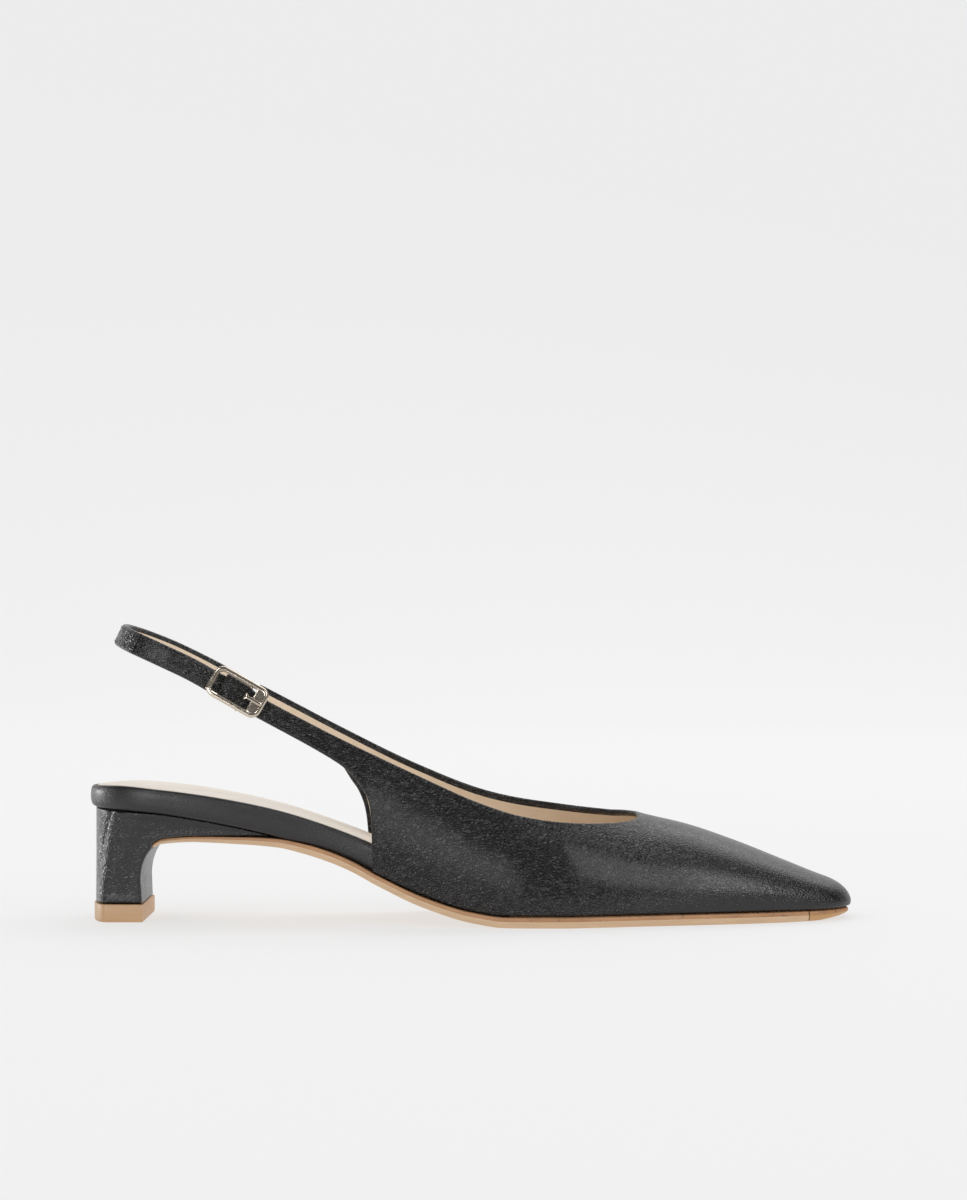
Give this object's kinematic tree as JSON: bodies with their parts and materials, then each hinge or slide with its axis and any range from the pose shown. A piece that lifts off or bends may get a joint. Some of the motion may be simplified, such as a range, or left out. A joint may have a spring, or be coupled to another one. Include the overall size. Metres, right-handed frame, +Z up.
{
  "type": "slingback pump shoe",
  "caption": "Right slingback pump with an elongated soft square toe, a low sculpted block heel and a buckled heel strap; stands empty on its sole.",
  "frame": {"origin": "on the floor, under the middle of the shoe's bounding box", "axes": "+X towards the toe, +Y towards the inner side of this right shoe, +Z up; the buckle is on the -Y side"},
  "size_m": [0.26, 0.0752, 0.1006],
  "materials": {
    "sole_leather": "smooth pale tan sole leather with a darker upper edge",
    "toe_insert": "smooth tan sole insert",
    "upper_leather": "black nappa leather with a fine wrinkled grain and a soft gloss",
    "sock_leather": "pale beige lining leather",
    "rand_leather": "smooth black leather wrapped over the seat's edge",
    "heel_leather": "black leather covering on the heel",
    "lift": "caramel wearing piece with a satin finish",
    "strap_leather": "black grained leather with edge stitching",
    "buckle_metal": "polished pale champagne metal"
  },
  "bodies": {
    "root": {"outsole": "sole_leather", "toe_tip": "toe_insert", "upper": "upper_leather", "insole": "sock_leather", "footbed": "rand_leather", "heel": "heel_leather", "top_lift": "lift", "sling_strap": "strap_leather", "buckle_strap": "strap_leather", "buckle_frame": "buckle_metal", "buckle_prong": "buckle_metal"}
  },
  "joints": []
}
